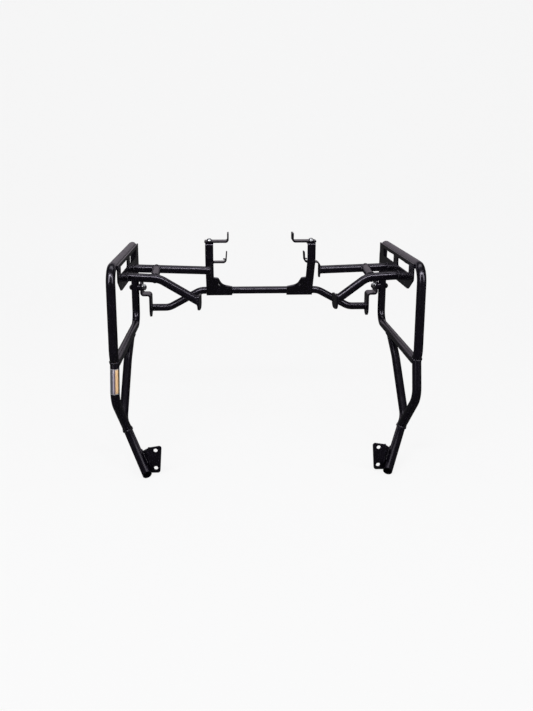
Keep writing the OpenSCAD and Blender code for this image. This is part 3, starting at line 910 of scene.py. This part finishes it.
    def crossbar_seams(self) -> list[Seam]:
        """Ring where the crossbar's end meets its strap."""
        strap = Face(Vector((self.bar_end_x, 0, 0)), Vector((-1, 0, 0)))
        start = Vector((self.bar_end_x - self.bar_reach, self.bar_y, -self.bar_end_drop))
        return [(cope_seam(start, Vector((1, 0, 0)), self.bar_r, strap.distance), True)]

    def on_crossbar(self, offsets: Sequence[float], turn: float) -> Seam:
        """Open line along the crossbar's skin.

        Args:
            offsets: X of its points, from the upright's middle.
            turn: degrees about the crossbar, from the upright's own lean.

        Returns:
            The line.
        """
        angle = math.radians(self.upright_lean + turn)
        y = self.bar_y - (self.bar_r + self.foot_gap) * math.cos(angle)
        z = -self.bar_drop - (self.bar_r + self.foot_gap) * math.sin(angle)
        return [Vector((self.upright_x + x, y, z)) for x in offsets], False

    def upright_seams(self) -> list[Seam]:
        """Short beads over and under the upright's foot on the crossbar."""
        offsets = (-self.upright_half, 0, self.upright_half)
        return [self.on_crossbar(offsets, turn) for turn in self.upright_turns]

    def gusset_seams(self) -> list[Seam]:
        """Bead along the gusset's foot on the crossbar."""
        return [self.on_crossbar([-x for x in self.gusset_span], self.gusset_turn)]

    def plate_seams(self) -> list[Seam]:
        """Stitches behind the plate, in the groove under the top bar."""
        z = -self.stitch_drop
        x = self.loop_x - math.sqrt((self.tube_r + self.stitch_gap) ** 2 - z ** 2)
        return [([Vector((x, y, z)) for y in (a, (a + b) / 2, b)], False) for a, b in self.stitches]

    def bracket_seams(self) -> list[Seam]:
        """Beads above and below the line on which the bracket's wing touches the strut."""
        _, _, elbow, foot = self.strut_points()
        way = unit(foot - elbow)
        level = unit((way.x, way.y, 0))
        inward = Vector((level.y, -level.x, 0))
        if inward.x > 0:
            inward = -inward
        up = inward.cross(way)
        if up.z < 0:
            up = -up
        seams = []
        for turn, a, b in self.wing_seams:
            off = inward * math.cos(math.radians(turn)) + up * math.sin(math.radians(turn))
            off = off * (self.tube_r + self.wing_gap)
            seams.append(([elbow.lerp(foot, t) + off for t in (a, (a + b) / 2, b)], False))
        return seams


@dataclass
class LegLabel:
    """Curved film on the front of the left leg, in drawing millimetres and degrees."""

    shop: Shop
    datum: Datum
    leg_x: float = -310.0
    leg_y: float = 10.0
    leg_top: float = -190.24
    lean: float = 12.0
    radius: float = 9.62
    top: float = -204.0
    bottom: float = -254.5
    start: float = -84.0
    sweep: float = 130.0
    facing: float = 8.9
    thickness: float = 0.1
    across: int = 18
    along: int = 6
    film: LabelFilm = LabelFilm()

    def build(self) -> bpy.types.Object:
        """Build the film as a thin bent sheet with its own UV map.

        Returns:
            The film.
        """
        mesh = bmesh.new()
        layer = mesh.loops.layers.uv.new("film")
        across, along = self.across, self.along
        grid = []
        for i in range(across + 1):
            u = i / across
            angle = math.radians(self.start + self.sweep * u + self.facing)
            column = []
            for k in range(along + 1):
                z = self.bottom + (self.top - self.bottom) * k / along
                x = self.leg_x + self.radius * math.sin(angle)
                axis_y = self.leg_y + (z - self.leg_top) * math.tan(math.radians(self.lean))
                y = axis_y - self.radius * math.cos(angle) / math.cos(math.radians(self.lean))
                column.append(mesh.verts.new(self.datum.at(x, y, z)))
            grid.append(column)
        for i in range(across):
            for k in range(along):
                corners = ((i, k), (i + 1, k), (i + 1, k + 1), (i, k + 1))
                face = mesh.faces.new([grid[a][b] for a, b in corners])
                for loop, (a, b) in zip(face.loops, corners):
                    loop[layer].uv = (a / across, b / along)
        piece = finished_mesh("left_leg_label", mesh)
        dress(piece, self.film.make(self.shop))
        thick = piece.modifiers.new("film thickness", "SOLIDIFY")
        thick.thickness = self.thickness * MM
        thick.offset = -1
        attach(piece, BODY)
        LOG.info("stuck %s", piece.name)
        return piece


@dataclass(frozen=True)
class Softbox:
    """One rectangular lamp, in metres.

    Args:
        name: name of the lamp.
        place: where it hangs.
        aim: the point that it faces.
        size: width and height of its window.
        power: power in watts.
        colour: colour of its light.
    """

    name: str
    place: tuple[float, float, float]
    aim: tuple[float, float, float]
    size: tuple[float, float]
    power: float
    colour: Colour = (1.0, 1.0, 1.0)

    def hang(self) -> None:
        """Hang the lamp."""
        data = bpy.data.lights.new(self.name, "AREA")
        data.shape = "RECTANGLE"
        data.size, data.size_y = self.size
        data.energy = self.power
        data.color = self.colour
        lamp = bpy.data.objects.new(self.name, data)
        lamp.location = self.place
        lamp.rotation_euler = (Vector(self.aim) - Vector(self.place)).to_track_quat("-Z", "Y").to_euler()
        lamp.visible_camera = False
        bpy.context.scene.collection.objects.link(lamp)


@dataclass
class Studio:
    """Paper sweep, lamps and even surroundings, in metres."""

    width: float = 9.0
    depth: float = 4.0
    back: float = 1.6
    rise: float = 4.0
    bend: float = 1.2
    bend_steps: int = 12
    below: float = 0.0004
    world_shown: float = 0.935
    world_mirrored: float = 0.036
    world_light: Colour = (0.2, 0.2, 0.21)
    lamps: tuple[Softbox, ...] = (
        Softbox("key softbox", (-1.35, -1.7, 1.5), (0, 0, 0.3), (0.6, 1.7), 18),
        Softbox("fill softbox", (1.6, -1.45, 1.4), (0, 0, 0.3), (0.45, 1.5), 13),
        Softbox("front softbox", (-0.12, -1.65, 2.35), (0, 0, 0.3), (2.4, 0.34), 31),
        Softbox("top softbox", (0, 0.5, 2.6), (0, 0.05, 0.2), (2.4, 0.8), 10),
        Softbox("back softbox", (0, 2.1, 1.15), (0, 0, 0.35), (3.6, 1.3), 5.0, (1.0, 0.9, 1.0)))

    def build(self) -> None:
        """Build the sweep, the lamps and the world."""
        self.sweep()
        for lamp in self.lamps:
            lamp.hang()
        self.surroundings()

    def sweep(self) -> None:
        """Floor that bends up into a backdrop behind the object."""
        mesh = bmesh.new()
        profile = [(-self.depth, 0.0), (self.back, 0.0)]
        for step in range(1, self.bend_steps + 1):
            angle = math.pi / 2 * step / self.bend_steps
            profile.append((self.back + self.bend * math.sin(angle), self.bend * (1 - math.cos(angle))))
        profile.append((self.back + self.bend, self.rise))
        rows = [[mesh.verts.new((x, y, z - self.below)) for x in (-self.width / 2, self.width / 2)]
                for y, z in profile]
        for a, b in zip(rows, rows[1:]):
            mesh.faces.new((a[0], a[1], b[1], b[0]))
        paper = finished_mesh("studio_paper", mesh)
        dress(paper, StudioPaper().make())
        LOG.info("laid %s", paper.name)

    def surroundings(self) -> None:
        """World that is pale in view and grey as a light."""
        world = bpy.data.worlds.new("studio")
        bpy.context.scene.world = world
        world.use_nodes = True
        tree = world.node_tree
        tree.nodes.clear()
        out = tree.nodes.new("ShaderNodeOutputWorld")
        paths = tree.nodes.new("ShaderNodeLightPath")
        shown = tree.nodes.new("ShaderNodeBackground")
        light = tree.nodes.new("ShaderNodeBackground")
        shown.inputs["Color"].default_value = (1.0, 1.0, 1.0, 1)
        light.inputs["Color"].default_value = (*self.world_light, 1)
        tree.links.new(levels(tree, paths, self.world_shown, self.world_mirrored), shown.inputs["Strength"])
        mix = tree.nodes.new("ShaderNodeMixShader")
        tree.links.new(levels(tree, paths, 1.0, 1.0), mix.inputs["Fac"])
        tree.links.new(light.outputs["Background"], mix.inputs[1])
        tree.links.new(shown.outputs["Background"], mix.inputs[2])
        tree.links.new(mix.outputs["Shader"], out.inputs["Surface"])


@dataclass(frozen=True)
class PhotoCamera:
    """Camera of the photograph, in drawing millimetres and degrees."""

    place: tuple[float, float, float] = (-75.17, -1493.0, 243.13)
    down: float = 13.0
    right: float = 2.1
    lens: float = 38.606
    sensor: float = 36.0
    shift: tuple[float, float] = (0.01339, -0.05145)
    reach: float = 40.0

    def build(self, datum: Datum) -> None:
        """Set the camera.

        Args:
            datum: place of the drawing in the frame.
        """
        data = bpy.data.cameras.new("photo camera")
        data.sensor_width = self.sensor
        data.lens = self.lens
        data.shift_x, data.shift_y = self.shift
        data.clip_end = self.reach
        camera = bpy.data.objects.new("photo camera", data)
        camera.location = datum.at(*self.place)
        camera.rotation_euler = (math.radians(90 - self.down), 0, -math.radians(self.right))
        bpy.context.scene.collection.objects.link(camera)
        bpy.context.scene.camera = camera


def main() -> None:
    """Build the scene, piece by piece."""
    logging.basicConfig(level=logging.INFO, format="%(name)s: %(message)s")
    datum = Datum.from_loop()
    PhotoCamera().build(datum)
    shop = Shop()
    Steelwork(shop).build()
    Welds(shop, datum).build()
    LegLabel(shop, datum).build()
    Studio().build()
    bpy.context.scene.view_settings.view_transform = "Standard"


if __name__ == "__main__":
    main()
